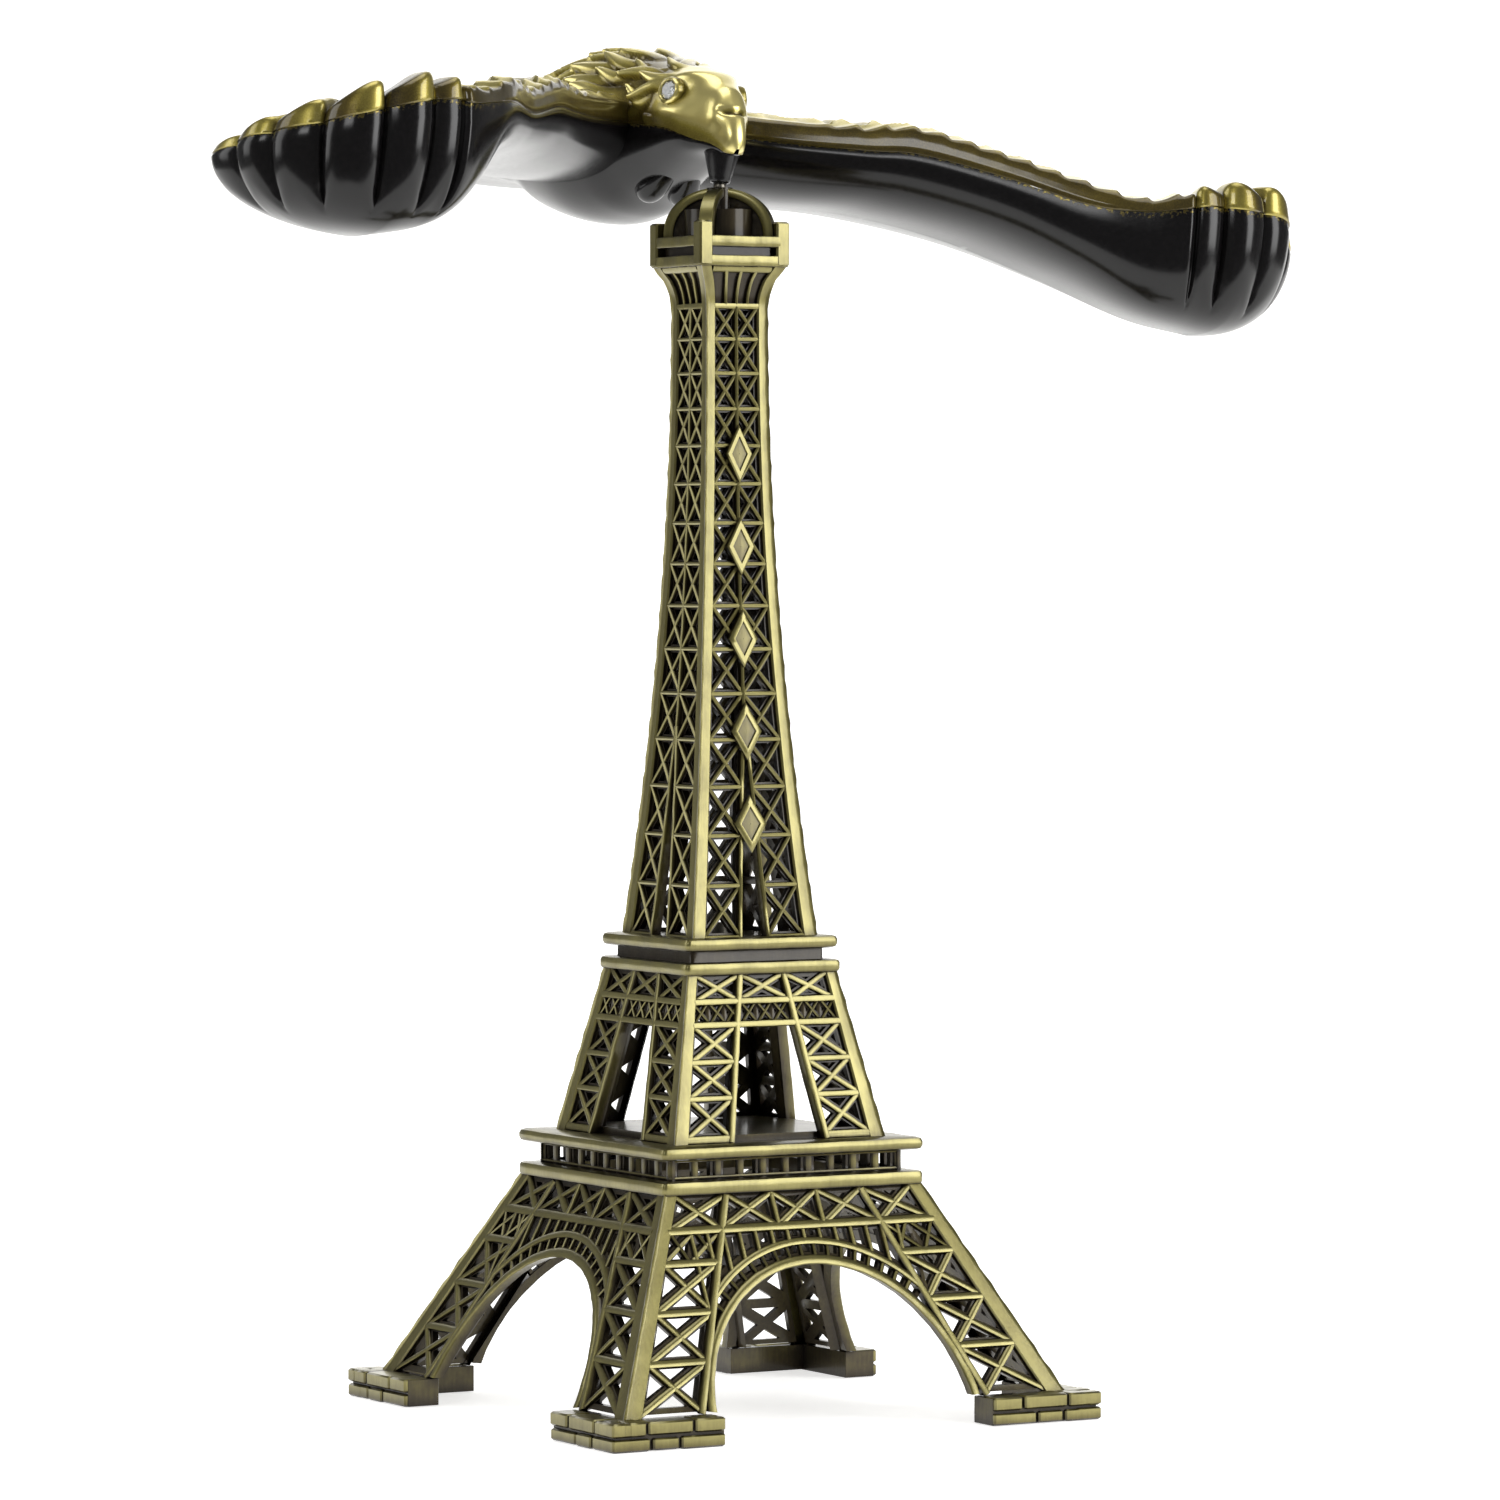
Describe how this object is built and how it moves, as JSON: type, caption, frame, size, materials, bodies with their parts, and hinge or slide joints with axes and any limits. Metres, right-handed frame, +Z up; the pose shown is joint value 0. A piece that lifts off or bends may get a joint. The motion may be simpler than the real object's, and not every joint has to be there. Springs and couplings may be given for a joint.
{
  "type": "miniature landmark model",
  "caption": "Small lattice landmark tower in antique brass finish with an eagle that balances on its beak at the tip, turning and rocking freely.",
  "frame": {"origin": "centre between the four feet, on the plane they stand on", "axes": "+Z up the tower; the eagle's beak points along -Y and its left wing along +X at rest"},
  "size_m": [0.1414, 0.1, 0.1637],
  "materials": {
    "antique_brass": "satin",
    "dark_brass": "satin",
    "steel": "satin",
    "gold_paint": "gloss",
    "black_plastic": "gloss",
    "clear_stone": "polished"
  },
  "bodies": {
    "tower": {"lower_stage": "antique_brass", "middle_stage": "antique_brass", "upper_shaft": "antique_brass", "gallery_crown": "antique_brass", "pivot_post": "dark_brass", "deck_rivet": "antique_brass", "stage_screw": "steel"},
    "cup": {"pivot_cup": "steel"},
    "ball": {"pivot_ball": "steel"},
    "eagle": {"eagle_upper": "gold_paint", "eagle_lower": "black_plastic", "wing_weight_left": "steel", "wing_weight_right": "steel", "eye_stone_left": "clear_stone", "eye_stone_right": "clear_stone"}
  },
  "joints": [
    {"name": "swivel", "type": "hinge", "parent": "tower", "child": "cup", "pos_m": [0, 0, 0.1456], "axis": [0, 0, 1], "continuous": true},
    {"name": "bank", "type": "hinge", "parent": "cup", "child": "ball", "pos_m": [0, 0, 0.1456], "axis": [0, -1, 0], "range_deg": [-15, 15]},
    {"name": "nod", "type": "hinge", "parent": "ball", "child": "eagle", "pos_m": [0, 0, 0.1456], "axis": [1, 0, 0], "range_deg": [-15, 15]}
  ]
}
